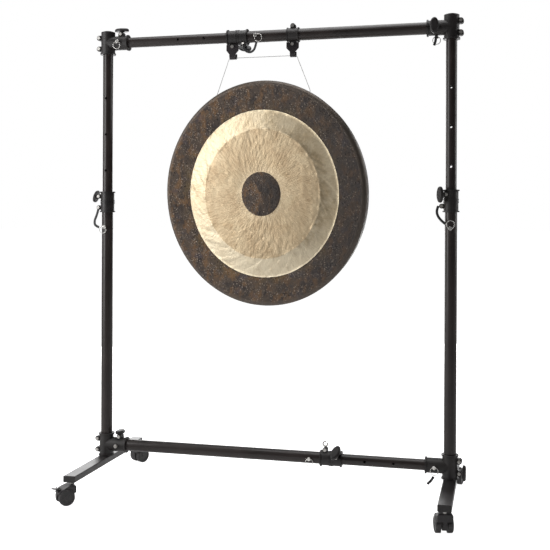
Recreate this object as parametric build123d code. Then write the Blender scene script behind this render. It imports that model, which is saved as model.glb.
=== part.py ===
"""Tam tam gong on a wheeled tube stand, adjustable in height and width.

Millimetres. X runs along the two bars, +X to the player's right, +Z is up, and the player stands at -Y.
The origin is on the floor, midway between the two posts.
"""

from build123d import *
from collections import namedtuple
from math import cos, pi, radians, sin, tan
import os

# Driving dimensions.
POST_X = 574.5
BOTTOM_BAR_Z = 127.0
TOP_BAR_Z = 1487.0
OUTER_R = 19.05
WALL = 1.65
SLIDE_GAP = 0.3
INNER_R = OUTER_R - WALL - SLIDE_GAP
GRIP_GAP = 0.1
PIN_FIT = 0.08

# Tees: the four corner castings.
TEE_R = 23.5
TEE_LIP_R = 26.5
TEE_LIP = 4.5
TEE_HALF = 38.0
TEE_ARM = 76.0
LUG_R = 8.6
LUG_HALF = 11.0
LUG_RISE = 18.4
LUG_OFFSET = 28.5
KNOB_AT = 50.0
TEE_PIN_AT = 46.0
TEE_SEAT = 37.6
CAP_H = 3.0
CAP_BEVEL = 9.0
SPLIT_HALF = 1.2
SPLIT_REACH = 60.0
BAR_SPLIT_AT = 30.0

# Collars: the four clamps where a thin tube slides in a thick one.
COLLAR_R = 22.8
COLLAR_LIP_R = 26.0
COLLAR_HALF = 34.7
COLLAR_SEAT = 36.4
COLLAR_LUG_R = 7.5
COLLAR_LUG_HALF = 10.0
HEIGHT_COLLAR_Z = 949.0
TOP_COLLAR_X = -114.8
BOTTOM_COLLAR_X = 201.5
TETHER_LUG_STEP = 22.0
TETHER_LUG_TURN = 28.0
TETHER_LUG_RISE = 29.5

# Lock pins, their rings and their straps.
HEIGHT_PIN_Z = 864.0
TOP_PIN_X = -49.0
BOTTOM_PIN_X = 134.0
HEIGHT_HOLES_Z = (1055.0, 1177.5, 1300.0)
TOP_HOLES_X = (-318.0, -227.0)
BOTTOM_HOLES_X = (311.0, 402.0)
PIN_R = 4.0
PIN_HEAD_R = 6.0
HOLE_R = PIN_R + PIN_FIT
UPPER_POST_FOOT = 600.0
TOP_THIN_END = 160.0
BOTTOM_THIN_END = -40.0
RING_R = 12.0
RING_WIRE_R = 1.1

# Hangers.
RIGHT_HANGER_X = 71.5
LEFT_HANGER_X = -130.5
HANGER_HALF = 19.3
SCREW_DROP = 31.5
HOOK_T = 4.0
HOOK_R = 7.0
HOOK_PLATE_HALF = 20.3
HOOK_PLATE_DROP = 25.5
HOOK_SHOULDER_Z = 1443.0
HOOK_NECK_Z = 1431.0
LINE_Z = 1420.0
LINE_R = 1.0

# Gong.
GONG_R = 367.0
GONG_T = 2.2
SHOULDER_R = 13.0
RIM_DEPTH = 46.0
RIM_TAPER = 7.0
GONG_TWIST = -13.0
GONG_TILT = 3.3
GONG_CENTRE = (-34.6, -11.1, 973.0)
RIM_HOLE_ANGLE = 28.2
RIM_HOLE_DEPTH = 30.0
RIM_HOLE_R = 2.6
KNOT_AT = 357.6
KNOT_R = 3.4

# Feet and casters.
FOOT_TOP = 89.0
FOOT_H = 20.0
FOOT_W = 40.0
FOOT_FRONT = -276.0
FOOT_REAR = 268.0
CASTER_INSET = 17.0
WHEEL_R = 25.0
WHEEL_W = 16.0
WHEEL_OFFSET = 18.0
TRAIL = 20.0
STEM_R = 5.0
HOUSING_TOP = 61.0
FRONT_Y = FOOT_FRONT + CASTER_INSET
REAR_Y = FOOT_REAR - CASTER_INSET
BRAKED = ("left_front", "right_front")
BRAKE_X = 45.0
BRAKE_Z = 50.0

# Routes of the bendable pieces, point by point.
LINE_ROUTE = [
    (-196.6, 38.4, 1289.4),
    (-201.2, 39.0, 1298.0),
    (-143.2, 0.0, 1420.2),
    (82.8, 0.0, 1420.2),
    (137.1, -39.1, 1298.0),
    (132.7, -37.6, 1289.4),
]
LINE_BEND_R = 5.0
LEFT_TETHER_ROUTE = [
    (-603.0, -12.3, 923.6),
    (-604.5, -15.0, 912.5),
    (-608.0, -18.0, 899.0),
    (-612.5, -20.5, 886.0),
    (-612.0, -22.0, 873.5),
    (-605.0, -22.6, 866.5),
    (-595.0, -22.4, 862.5),
]
RIGHT_TETHER_ROUTE = [
    (536.8, -12.3, 933.2),
    (533.0, -14.0, 924.0),
    (532.3, -16.0, 912.5),
    (536.0, -18.5, 901.5),
    (543.5, -21.0, 891.5),
    (551.0, -22.4, 884.0),
    (559.5, -22.6, 877.4),
]
TOP_TETHER_ROUTE = [
    (-92.5, -17.8, 1453.5),
    (-87.0, -19.5, 1443.0),
    (-77.5, -21.0, 1435.0),
    (-65.0, -22.2, 1432.5),
    (-54.5, -23.0, 1438.5),
    (-49.0, -22.8, 1450.5),
    (-46.0, -22.4, 1465.0),
]
RIGHT_LOWER_STRAP_ROUTE = [
    (526.5, -26.9, 99.3),
    (522.0, -27.4, 90.3),
    (515.5, -27.0, 82.3),
    (507.5, -26.4, 74.8),
]
RIGHT_UPPER_STRAP_ROUTE = [
    (527.5, -9.4, 1461.8),
    (527.0, -9.9, 1451.4),
    (525.3, -9.7, 1441.2),
    (521.5, -9.0, 1431.2),
]
STRAP_R = 2.2


def rod(start, end, radius):
    """A round bar between two points."""
    direction = Vector(*end) - Vector(*start)
    plane = Plane(origin=start, z_dir=direction)
    return plane * Cylinder(radius, direction.length, align=(Align.CENTER, Align.CENTER, Align.MIN))


def pipe(start, end, radius, bore):
    """A round tube between two points, open at both ends."""
    along = (Vector(*end) - Vector(*start)).normalized()
    return rod(start, end, radius) - rod(Vector(*start) - along, Vector(*end) + along, bore)


def block(low, high):
    """A box between two corners."""
    size = [high[i] - low[i] for i in range(3)]
    middle = [(high[i] + low[i]) / 2 for i in range(3)]
    return Pos(*middle) * Box(*size)


def hexagon(start, end, across):
    """A hexagonal bar between two points, across being its width over flats."""
    direction = Vector(*end) - Vector(*start)
    plane = Plane(origin=start, z_dir=direction)
    return plane * extrude(RegularPolygon(across / 2, 6, major_radius=False), direction.length)


def save(node, *pieces):
    """Write one node, each piece as a solid of its own."""
    solids = [solid for piece in pieces for solid in piece.solids()]
    shape = solids[0] if len(solids) == 1 else Compound(children=solids)
    export_step(shape, f"parts/{node}.step")


def cross_bolt(plane, half, across=10.0):
    """A hex bolt along the plane's Y through a lug of this half width, and its nut."""
    head = hexagon((0, -half - 4.5, 0), (0, -half - 0.05, 0), across)
    shank = rod((0, -half - 1, 0), (0, half + 6, 0), 3.0)
    nut = hexagon((0, half + 0.05, 0), (0, half + 4.5, 0), across) - rod((0, 0, 0), (0, half + 9, 0), 3.05)
    return [plane * (head + shank), plane * nut]


def eye_stud(plane, seat):
    """The eye bolt that stands in a lug: an eye round the cross bolt and a stud up into the knob."""
    eye = rod((0, -3.4, 0), (0, 3.4, 0), 5.6)
    stud = rod((0, 0, 0), (0, 0, seat - LUG_OFFSET + 7.5), 3.0)
    return plane * (eye + stud - rod((0, -6, 0), (0, 6, 0), 3.05))


def wing_knob(plane, seat, spin):
    """An oval domed knob over a lug. Its underside stands on the seat and its long side is turned by spin."""
    hub = rod((0, 0, seat), (0, 0, seat + 5), 8.0)
    cap = extrude(Plane(origin=(0, 0, seat + 1)) * Ellipse(25, 14), 10.5)
    top = cap.edges().filter_by_position(Axis.Z, seat + 11, seat + 12)
    cap = fillet(top, 6.5)
    bottom = cap.edges().filter_by_position(Axis.Z, seat + 0.9, seat + 1.1)
    cap = fillet(bottom, 1.5)
    grip = Rot(0, 0, spin) * (cap + hub)
    return plane * (grip - rod((0, 0, seat - 1), (0, 0, seat + 8), 3.0 + PIN_FIT))


def lug(plane, radius, half):
    """A clamp lug at the plane's origin, axis along its Y, with a web down to the sleeve at -Z."""
    ear = rod((0, -half, 0), (0, half, 0), radius)
    web = block((-radius, -half, -radius - 3), (radius, half, 0))
    return plane * (ear + web)


def lug_space(plane, half, with_stud):
    """What is cut from a lug: the bolt's hole, and the slot in which the eye bolt swings."""
    space = rod((0, -half - 1, 0), (0, half + 1, 0), 3.1)
    if with_stud:
        space += block((-6.5, -3.8, -6.4), (6.5, 3.8, 12))
    return plane * space


def outward_plane(origin, outward, along, rise):
    """A plane over a tube, moved out by rise: Z points outward and X lies along the tube."""
    out = Vector(*outward)
    way = Vector(*along)
    if out.cross(way).Y < 0:
        way = way * -1
    return Plane(origin=Vector(*origin) + out * rise, x_dir=way, z_dir=out)


# Each corner: its side, its bar's height, the radii of its post and bar, whether its sleeve is capped, and
# the way that its bar's lug points, if it has one.
Corner = namedtuple("Corner", "side z post_r bar_r capped bar_lug_way")
CORNERS = {
    "bottom_left": Corner(-1, BOTTOM_BAR_Z, OUTER_R, OUTER_R, False, (0, 0, 1)),
    "bottom_right": Corner(1, BOTTOM_BAR_Z, OUTER_R, INNER_R, False, None),
    "top_left": Corner(-1, TOP_BAR_Z, INNER_R, INNER_R, True, (0, 0, 1)),
    "top_right": Corner(1, TOP_BAR_Z, INNER_R, OUTER_R, True, (0, -1, 0)),
}


def tee_lugs(name, rise=LUG_OFFSET):
    """The planes of a tee's lugs, moved out by rise. The first is the knob's."""
    corner = CORNERS[name]
    post_x = corner.side * POST_X
    planes = []
    if corner.bar_lug_way:
        bar_point = (post_x - corner.side * KNOB_AT, 0, corner.z)
        planes.append(outward_plane(bar_point, corner.bar_lug_way, (1, 0, 0), rise))
    for step in (-LUG_RISE, LUG_RISE):
        planes.append(outward_plane((post_x, 0, corner.z + step), (corner.side, 0, 0), (0, 0, 1), rise))
    return planes


def tee_body(name):
    """A tee's outer shape: a sleeve on the post and an arm on the bar, with lips or a cap at their ends."""
    side, z = CORNERS[name].side, CORNERS[name].z
    x = side * POST_X
    arm_end = x - side * TEE_ARM
    body = rod((x, 0, z - TEE_HALF), (x, 0, z + TEE_HALF), TEE_R)
    body += rod((x, 0, z), (arm_end, 0, z), TEE_R)
    body += rod((x, 0, z - TEE_HALF), (x, 0, z - TEE_HALF + TEE_LIP), TEE_LIP_R)
    body += rod((arm_end + side * TEE_LIP, 0, z), (arm_end, 0, z), TEE_LIP_R)
    if CORNERS[name].capped:
        cap = Cone(TEE_R, TEE_R - CAP_BEVEL, CAP_H, align=(Align.CENTER, Align.CENTER, Align.MIN))
        return body + Pos(x, 0, z + TEE_HALF) * cap
    return body + rod((x, 0, z + TEE_HALF - TEE_LIP), (x, 0, z + TEE_HALF), TEE_LIP_R)


def tee(name):
    """A corner casting: its sleeve and its arm are bored for the tubes, split and bolted."""
    corner = CORNERS[name]
    side, z = corner.side, corner.z
    x = side * POST_X
    arm_end = x - side * TEE_ARM
    planes = tee_lugs(name)
    body = tee_body(name)
    for plane in planes:
        body += lug(plane, LUG_R, LUG_HALF)
    post_top = z + TEE_HALF + (-CAP_H if corner.capped else 1)
    body -= rod((x, 0, z - TEE_HALF - 1), (x, 0, post_top), corner.post_r + GRIP_GAP)
    body -= rod((x - side * (corner.post_r + 1), 0, z), (arm_end - side, 0, z), corner.bar_r + GRIP_GAP)
    for plane in planes:
        body -= lug_space(plane, LUG_HALF, plane is planes[0])
    near, far = sorted((x + side * (corner.post_r - 2), x + side * SPLIT_REACH))
    split_top = z + TEE_HALF + (-2 * CAP_H if corner.capped else 1)
    body -= block((near, -SPLIT_HALF, z - TEE_HALF - 1), (far, SPLIT_HALF, split_top))
    if corner.bar_lug_way:
        arm = Plane(origin=(x, 0, z), x_dir=(-side, 0, 0), z_dir=corner.bar_lug_way)
        slit = block((BAR_SPLIT_AT, -SPLIT_HALF, corner.bar_r - 2), (TEE_ARM + 1, SPLIT_HALF, SPLIT_REACH))
        body -= arm * slit
    return body - tee_pin_hole(name)


def tee_pin_axis(name):
    """A point on the bar's axis and the outward direction of a tee's lock pin."""
    corner = CORNERS[name]
    outward = (0, 0, -1) if name == "top_right" else (0, -1, 0)
    return (corner.side * (POST_X - TEE_PIN_AT), 0, corner.z), outward


def tee_pin_hole(name):
    """The hole for a tee's lock pin, through casting and bar."""
    origin, outward = tee_pin_axis(name)
    return rod(origin, Vector(*origin) + Vector(*outward) * 40, HOLE_R)


def lock_pin(origin, outward, surface, tip, ring_way=None, ring_normal=None):
    """A pin with a button head. Its ring, if any, passes through the neck and is centred ring_way from it."""
    out = Vector(*outward)
    base = Vector(*origin)
    shaft = rod(base + out * tip, base + out * (surface + 1), PIN_R)
    neck = rod(base + out * (surface + 0.3), base + out * (surface + 6.5), PIN_R + 0.4)
    head = rod(base + out * (surface + 6), base + out * (surface + 10.5), PIN_HEAD_R)
    pin = shaft + neck + fillet(head.edges().filter_by(GeomType.CIRCLE), 1.2)
    if ring_way is None:
        return [pin]
    way = Vector(*ring_way).normalized()
    normal = Vector(*(ring_normal or outward))
    middle = base + out * (surface + 3.4)
    ring = Plane(origin=middle + way * RING_R, z_dir=normal) * Torus(RING_R, RING_WIRE_R)
    across = normal.cross(way)
    pin -= rod(middle - across * 7, middle + across * 7, RING_WIRE_R + 1)
    return [pin, ring]


# Each collar: its middle, the ways to its thin tube and to its lugs, and each lug's place and turn.
Collar = namedtuple("Collar", "middle thin_way lug_way knob_lug plain_lug")
COLLARS = {
    "left_height": Collar((-POST_X, 0, HEIGHT_COLLAR_Z), (0, 0, 1), (-1, 0, 0), (19, 0), (-19, 0)),
    "right_height": Collar((POST_X, 0, HEIGHT_COLLAR_Z), (0, 0, 1), (-1, 0, 0), (19, 40), (-16, 0)),
    "top_width": Collar((TOP_COLLAR_X, 0, TOP_BAR_Z), (-1, 0, 0), (0, 0, -1), (-15, -45), None),
    "bottom_width": Collar((BOTTOM_COLLAR_X, 0, BOTTOM_BAR_Z), (1, 0, 0), (0, 0, 1), (19, 50), (-19, 0)),
}


def collar_lugs(name, rise=LUG_OFFSET):
    """The planes of a collar's knob lug and of its plain lug, moved out by rise."""
    shape = COLLARS[name]
    planes = []
    for place in (shape.knob_lug, shape.plain_lug):
        if place is None:
            continue
        step, turn = place
        out = Vector(*shape.lug_way) * cos(radians(turn)) + Vector(0, -1, 0) * sin(radians(turn))
        centre = Vector(*shape.middle) + Vector(*shape.thin_way) * step
        planes.append(outward_plane(centre, out, shape.thin_way, rise))
    return planes


def hanger_block(x):
    """The ear under a bar clamp that carries a hook, with its screw hole."""
    top = TOP_BAR_Z - OUTER_R - 1
    bottom = TOP_BAR_Z - SCREW_DROP - 9
    ear = block((x - 11, -6.9, bottom), (x + 11, 6.9, top))
    return ear - rod((x, -8, TOP_BAR_Z - SCREW_DROP), (x, 8, TOP_BAR_Z - SCREW_DROP), 3.1)


def tether_lug_plane():
    """The plane of the small lug on the top collar that holds its pin's tether."""
    turn = radians(TETHER_LUG_TURN)
    centre = Vector(TOP_COLLAR_X + TETHER_LUG_STEP, 0, TOP_BAR_Z)
    return outward_plane(centre, (0, -sin(turn), -cos(turn)), (1, 0, 0), TETHER_LUG_RISE)


def collar(name):
    """A split clamp: one half grips the thick tube's end, the other guides the thin tube."""
    centre = Vector(*COLLARS[name].middle)
    way = Vector(*COLLARS[name].thin_way)
    low, high = centre - way * COLLAR_HALF, centre + way * COLLAR_HALF
    body = rod(low, high, COLLAR_R)
    body += rod(low, low + way * 4, COLLAR_LIP_R)
    body += rod(high - way * 4, high, COLLAR_LIP_R)
    body += rod(centre - way * 6, centre + way * 6, COLLAR_R + 1.4)
    planes = collar_lugs(name)
    for plane in planes:
        body += lug(plane, COLLAR_LUG_R, COLLAR_LUG_HALF)
    if name == "top_width":
        body += hanger_block(LEFT_HANGER_X)
        body += lug(tether_lug_plane(), 4.6, 4.0)
        body -= tether_lug_plane() * rod((0, -6, 0), (0, 6, 0), 2.05)
    body -= pipe(centre - way * 0.9, centre + way * 0.9, COLLAR_R + 4, COLLAR_R - 1.2)
    body -= rod(low - way, centre - way, OUTER_R + GRIP_GAP)
    body -= rod(centre - way * 2, high + way, INNER_R + SLIDE_GAP)
    for plane in planes:
        with_stud = plane is planes[0] or name == "bottom_width"
        body -= lug_space(plane, COLLAR_LUG_HALF, with_stud)
        inner = (centre - plane.origin).dot(plane.x_dir)
        near, far = sorted((inner * 0.92, (COLLAR_HALF + 1) * (-1 if inner > 0 else 1) + inner))
        body -= plane * block((near, -SPLIT_HALF, -14), (far, SPLIT_HALF, 12))
    return body


def open_eye():
    """The open eye bolt in the plain lug of the bottom collar, from which a ring can be unhooked."""
    eye = rod((0, -3.4, 0), (0, 3.4, 0), 5.6)
    neck = rod((0, 0, 0), (0, 0, 10), 2.6)
    ring = rod((0, -2.6, 17.5), (0, 2.6, 17.5), 9.5) - rod((0, -6, 17.5), (0, 6, 17.5), 5.2)
    gap = Pos(0, 0, 17.5) * Rot(0, 38, 0) * block((-2.2, -6, 0), (2.2, 6, 14))
    return collar_lugs("bottom_width")[1] * (eye + neck + ring - gap - rod((0, -6, 0), (0, 6, 0), 3.05))


def hook(x, half_width):
    """A J hook: a shouldered plate in front of its ear, a neck, and a bend under the bar open to the rear."""
    bend_z = LINE_Z + HOOK_R - LINE_R
    front = HOOK_R + HOOK_T
    side = [
        (HOOK_PLATE_HALF, TOP_BAR_Z - HOOK_PLATE_DROP),
        (HOOK_PLATE_HALF, HOOK_SHOULDER_Z),
        (half_width, HOOK_NECK_Z),
        (half_width, bend_z),
    ]
    outline = [(x + across, z) for across, z in side]
    outline += [(x - across, z) for across, z in reversed(side)]
    face = Plane.XZ.offset(HOOK_R) * make_face(Polyline(*outline, close=True))
    plate = extrude(face, HOOK_T)
    start, end = (x - half_width, 0, bend_z), (x + half_width, 0, bend_z)
    bend = pipe(start, end, front, HOOK_R) & block((x - 30, -20, bend_z - 20), (x + 30, 20, bend_z))
    tip = block((x - half_width, HOOK_R, bend_z), (x + half_width, front, bend_z + 8))
    screw_z = TOP_BAR_Z - SCREW_DROP
    return plate + bend + tip - rod((x, -20, screw_z), (x, 0, screw_z), 3.1)


def hanger_screw(x):
    """A hook's screw and nut."""
    z = TOP_BAR_Z - SCREW_DROP
    front = HOOK_R + HOOK_T
    screw = hexagon((x, -front - 4, z), (x, -front - 0.05, z), 10) + rod((x, -front - 1, z), (x, 13, z), 3.0)
    nut = hexagon((x, 7, z), (x, 11.5, z), 10) - rod((x, 0, z), (x, 14, z), 3.05)
    return [screw, nut]


def hanger_clamp():
    """The right hanger's band round the thick top tube, with a bolted lug on top and an ear below."""
    x = RIGHT_HANGER_X
    low, high = (x - HANGER_HALF, 0, TOP_BAR_Z), (x + HANGER_HALF, 0, TOP_BAR_Z)
    body = rod(low, high, 22.3)
    body += rod(low, (x - HANGER_HALF + 3, 0, TOP_BAR_Z), 24.0)
    body += rod((x + HANGER_HALF - 3, 0, TOP_BAR_Z), high, 24.0)
    plane = hanger_clamp_lug()
    body += lug(plane, 8.0, 9.0)
    body += hanger_block(x)
    body -= rod((x - 40, 0, TOP_BAR_Z), (x + 40, 0, TOP_BAR_Z), OUTER_R + GRIP_GAP)
    body -= lug_space(plane, 9.0, False)
    return body - block((x - 40, -1.2, TOP_BAR_Z + 15), (x + 40, 1.2, TOP_BAR_Z + 45))


def hanger_clamp_lug():
    """The plane of the right hanger's top lug."""
    return outward_plane((RIGHT_HANGER_X, 0, TOP_BAR_Z), (0, 0, 1), (1, 0, 0), LUG_OFFSET)


def upright(z, x):
    """A hole through a post."""
    return rod((x, -40, z), (x, 40, z), HOLE_R)


def lower_post(side):
    """The thick lower tube of a post."""
    x = side * POST_X
    body = pipe((x, 0, BOTTOM_BAR_Z - TEE_HALF), (x, 0, HEIGHT_COLLAR_Z - 1), OUTER_R, OUTER_R - WALL)
    return body - upright(HEIGHT_PIN_Z, x)


def upper_post(side):
    """The thin upper tube of a post, with its row of height holes."""
    x = side * POST_X
    body = pipe((x, 0, UPPER_POST_FOOT), (x, 0, TOP_BAR_Z + TEE_HALF - 4), INNER_R, INNER_R - WALL)
    for z in HEIGHT_HOLES_Z + (HEIGHT_PIN_Z,):
        body -= upright(z, x)
    return body


def bar(name, end_x, hole_places):
    """A bar tube from a tee to its free end, with its tee pin's hole and the holes along it."""
    corner = CORNERS[name]
    start_x = corner.side * (POST_X - corner.post_r - 2)
    body = pipe((start_x, 0, corner.z), (end_x, 0, corner.z), corner.bar_r, corner.bar_r - WALL)
    body -= tee_pin_hole(name)
    for x in hole_places:
        body -= upright(corner.z, x)
    return body


def foot(side):
    """A rectangular foot tube across the bottom of a post."""
    x = side * POST_X
    low, high = FOOT_TOP - FOOT_H, FOOT_TOP
    shell = block((x - FOOT_W / 2, FOOT_FRONT + 3, low), (x + FOOT_W / 2, FOOT_REAR - 3, high))
    shell = fillet(shell.edges().filter_by(Axis.Y), 2.5)
    shell -= block((x - FOOT_W / 2 + 2, FOOT_FRONT, low + 2), (x + FOOT_W / 2 - 2, FOOT_REAR, high - 2))
    for y in (FRONT_Y, REAR_Y):
        shell -= rod((x, y, low - 1), (x, y, low + 5), STEM_R + 0.1)
    return shell


def foot_cap(side, end, way):
    """An end cap with its plug, pushed into a foot tube."""
    x = side * POST_X
    middle = FOOT_TOP - FOOT_H / 2
    face = Pos(x, end - way * 1.5, middle) * Box(FOOT_W, 3, FOOT_H)
    face = fillet(face.edges().filter_by(Axis.Y), 2.5)
    plug = Pos(x, end - way * 7, middle) * Box(FOOT_W - 4.4, 8.2, FOOT_H - 4.4)
    return face + plug


# Each caster: its foot's side, its place along the foot and the way its wheels trail, in degrees from +X.
CASTERS = {
    "left_front": (-1, FRONT_Y, 222.6),
    "right_front": (1, FRONT_Y, 104.0),
    "left_rear": (-1, REAR_Y, 62.0),
    "right_rear": (1, REAR_Y, 80.0),
}


def caster_plane(name):
    """A caster's own frame: origin on the floor under its stem, X along its trail."""
    side, y, heading = CASTERS[name]
    trail_way = (cos(radians(heading)), sin(radians(heading)), 0)
    return Plane(origin=(side * POST_X, y, 0), x_dir=trail_way, z_dir=(0, 0, 1))


def caster_hood(name):
    """The moulded hood: a stem barrel, a web between the wheels and a fender over them."""
    outline = [(-9, 38), (-9, HOUSING_TOP - 3), (-6, HOUSING_TOP), (9, HOUSING_TOP), (34, 50.5), (40, 38)]
    side_face = Plane.XZ.offset(-23) * make_face(Polyline(*outline, close=True))
    body = extrude(side_face, 46)
    body += rod((TRAIL, -23, WHEEL_R), (TRAIL, 23, WHEEL_R), 28.6)
    body -= block((-40, -30, -10), (60, -8, 37))
    body -= block((-40, 8, -10), (60, 30, 37))
    for side in (-1, 1):
        shoulder = Plane(origin=(0, side * 19, HOUSING_TOP), x_dir=(1, 0, 0), z_dir=(0, side, 0.8))
        body -= shoulder * block((-40, -40, 0), (80, 40, 30))
        cavity = rod((TRAIL, side * 8, WHEEL_R), (TRAIL, side * 30, WHEEL_R), 26.3)
        body -= cavity
    body -= block((-40, -30, -10), (60, 30, 14))
    body += rod((0, 0, 24), (0, 0, HOUSING_TOP), 8.8)
    body -= rod((0, 0, 39), (0, 0, HOUSING_TOP + 1), STEM_R + PIN_FIT)
    body -= rod((TRAIL, -10, WHEEL_R), (TRAIL, 10, WHEEL_R), 3.0 + PIN_FIT)
    if name in BRAKED:
        for side in (-1, 1):
            inner, outer = sorted((side * 7.3, side * 9.7))
            body += rod((BRAKE_X, inner, BRAKE_Z), (BRAKE_X, outer, BRAKE_Z), 3.6)
            body += block((BRAKE_X - 12, inner, BRAKE_Z - 8), (BRAKE_X, outer, BRAKE_Z + 1))
        body -= rod((BRAKE_X, -12, BRAKE_Z), (BRAKE_X, 12, BRAKE_Z), 2.0 + PIN_FIT)
    return caster_plane(name) * body


def caster_wheels(name):
    """The two wheels of a caster and the axle that they are pressed on."""
    pieces = []
    for side in (-1, 1):
        near, far = side * (WHEEL_OFFSET - WHEEL_W / 2), side * (WHEEL_OFFSET + WHEEL_W / 2)
        wheel = rod((TRAIL, near, WHEEL_R), (TRAIL, far, WHEEL_R), WHEEL_R)
        circles = wheel.edges().filter_by(GeomType.CIRCLE)
        outer_rim = [edge for edge in circles if abs(edge.center().Y - far) < 0.1]
        wheel = fillet(outer_rim, 4.0)
        wheel -= pipe((TRAIL, far - side * 1.5, WHEEL_R), (TRAIL, far + side, WHEEL_R), 18.0, 7.0)
        wheel -= rod((TRAIL, near - side, WHEEL_R), (TRAIL, far - side * 4, WHEEL_R), 3.02)
        pieces.append(wheel)
    reach = WHEEL_OFFSET + WHEEL_W / 2 - 5
    pieces.append(rod((TRAIL, -reach, WHEEL_R), (TRAIL, reach, WHEEL_R), 3.0))
    return [caster_plane(name) * piece for piece in pieces]


def brake_lever(name):
    """A foot lever on its pin at the back of a front caster's hood."""
    barrel = rod((BRAKE_X, -7.2, BRAKE_Z), (BRAKE_X, 7.2, BRAKE_Z), 3.2)
    pin = rod((BRAKE_X, -9.6, BRAKE_Z), (BRAKE_X, 9.6, BRAKE_Z), 2.0)
    pad = block((0, -7, -1.6), (17, 7, 1.6))
    pad = Pos(BRAKE_X, 0, BRAKE_Z) * Rot(0, -14, 0) * pad
    return caster_plane(name) * (barrel + pin + pad)


def caster_stem(name):
    """A caster's fixed stem, from inside its hood up into the foot."""
    side, y = CASTERS[name][:2]
    x = side * POST_X
    return rod((x, y, 41), (x, y, FOOT_TOP - 4), STEM_R)


def gong_plane():
    """The gong's own frame: Z out of its face, Y up its face."""
    turn, tilt = radians(GONG_TWIST), radians(GONG_TILT)
    face_way = (cos(tilt) * sin(turn), -cos(tilt) * cos(turn), -sin(tilt))
    return Plane(origin=GONG_CENTRE, x_dir=(cos(turn), sin(turn), 0), z_dir=face_way)


def gong():
    """The gong: a beaten disc, nearly flat, with a rounded shoulder and a rim turned back."""
    shoulder_at = GONG_R - SHOULDER_R
    front = [(0, -8), (72, -8), (212, -9), (273, -6), (shoulder_at, 0)]
    back = [(radius, depth - GONG_T) for radius, depth in front]
    inner_r = GONG_R - GONG_T
    bend = SHOULDER_R * sin(radians(45))
    inner_bend = (SHOULDER_R - GONG_T) * sin(radians(45))
    outline = Polyline(*front)
    outline += ThreePointArc(front[-1], (shoulder_at + bend, bend - SHOULDER_R), (GONG_R, -SHOULDER_R))
    outline += Polyline((GONG_R, -SHOULDER_R), (GONG_R - RIM_TAPER, -RIM_DEPTH),
                        (inner_r - RIM_TAPER, -RIM_DEPTH), (inner_r, -SHOULDER_R))
    inner_middle = (shoulder_at + inner_bend, inner_bend - SHOULDER_R)
    outline += ThreePointArc((inner_r, -SHOULDER_R), inner_middle, back[-1])
    outline += Polyline(*reversed(back))
    outline += Line(back[0], front[0])
    disc = revolve(Plane.XZ * make_face(outline), Axis.Z)
    for angle in (-RIM_HOLE_ANGLE, RIM_HOLE_ANGLE):
        way = Vector(sin(radians(angle)), cos(radians(angle)), 0)
        start = way * (GONG_R - 20) + Vector(0, 0, -RIM_HOLE_DEPTH)
        disc -= rod(start, start + way * 30, RIM_HOLE_R)
    return gong_plane() * disc


def rim_point(angle, radius):
    """A point on the axis of a rim hole."""
    across, up = radius * sin(radians(angle)), radius * cos(radians(angle))
    return gong_plane().from_local_coords((across, up, -RIM_HOLE_DEPTH))


def largest_arcs(route):
    """The radius of the largest arc that the runs beside each corner of a route allow."""
    points = [Vector(*point) for point in route]
    radii = []
    for before, corner, after in zip(points, points[1:], points[2:]):
        turn = (corner - before).get_angle(after - corner)
        shorter = min((corner - before).length, (after - corner).length)
        radii.append(0.45 * shorter / tan(radians(turn / 2)))
    return radii


def bent_tube(name, route, radius, bend_radii):
    """A round cord or strap along straight runs joined by arcs. Prints its length and its arcs."""
    path = FilletPolyline(*route, radius=bend_radii)
    section = Plane(origin=path @ 0, z_dir=path % 0) * Circle(radius)
    tube = sweep(section, path=path)
    ratio = tube.volume / (pi * radius**2 * path.length)
    bends = [round(bend, 1) for bend in bend_radii]
    print(name, "length", round(path.length, 1), "arc radii", bends, "volume ratio", round(ratio, 4))
    return tube


def tee_pin(name):
    """The lock pin of a tee, with its ring where it has one."""
    origin, outward = tee_pin_axis(name)
    return lock_pin(origin, outward, TEE_R, CORNERS[name].bar_r - WALL - 2, TEE_PIN_RINGS[name], (0, -1, 0))


def line_knot(angle):
    """The stopper knot inside the rim at one end of the hanging line."""
    start = rim_point(angle, KNOT_AT)
    plane = Plane(origin=start, z_dir=rim_point(angle, GONG_R) - start)
    return plane * (Sphere(KNOT_R) + Pos(0, 0, -1.5) * Torus(2.6, 1.5))


# Each tee's and each collar's body, and the turn of its knob.
TEE_BODIES = {
    "bottom_left": ("lower_left", 90),
    "bottom_right": ("lower_right", 0),
    "top_left": ("upper_left", 0),
    "top_right": ("upper_right", 90),
}
COLLAR_BODIES = {
    "left_height": ("lower_left", 45),
    "right_height": ("lower_right", 0),
    "top_width": ("upper_right", 20),
    "bottom_width": ("lower_left", 70),
}

# Each lock pin's place on its tube's axis, and the way its ring hangs.
COLLAR_PINS = {
    "left_height": ((-POST_X, 0, HEIGHT_PIN_Z), (-0.63, 0, -0.77)),
    "right_height": ((POST_X, 0, HEIGHT_PIN_Z), (0, 0, 1)),
    "top_width": ((TOP_PIN_X, 0, TOP_BAR_Z), (0.75, 0, -0.66)),
    "bottom_width": ((BOTTOM_PIN_X, 0, BOTTOM_BAR_Z), (0, 0, -1)),
}
TEE_PIN_RINGS = {
    "bottom_left": None,
    "bottom_right": (0, 0, -1),
    "top_left": (-0.35, 0, -0.94),
    "top_right": (0, 0, -1),
}
STRAPS = {
    "left_height_tether": LEFT_TETHER_ROUTE,
    "right_height_tether": RIGHT_TETHER_ROUTE,
    "top_width_tether": TOP_TETHER_ROUTE,
    "bottom_right_strap": RIGHT_LOWER_STRAP_ROUTE,
    "top_right_strap": RIGHT_UPPER_STRAP_ROUTE,
}


os.makedirs("parts", exist_ok=True)

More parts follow.
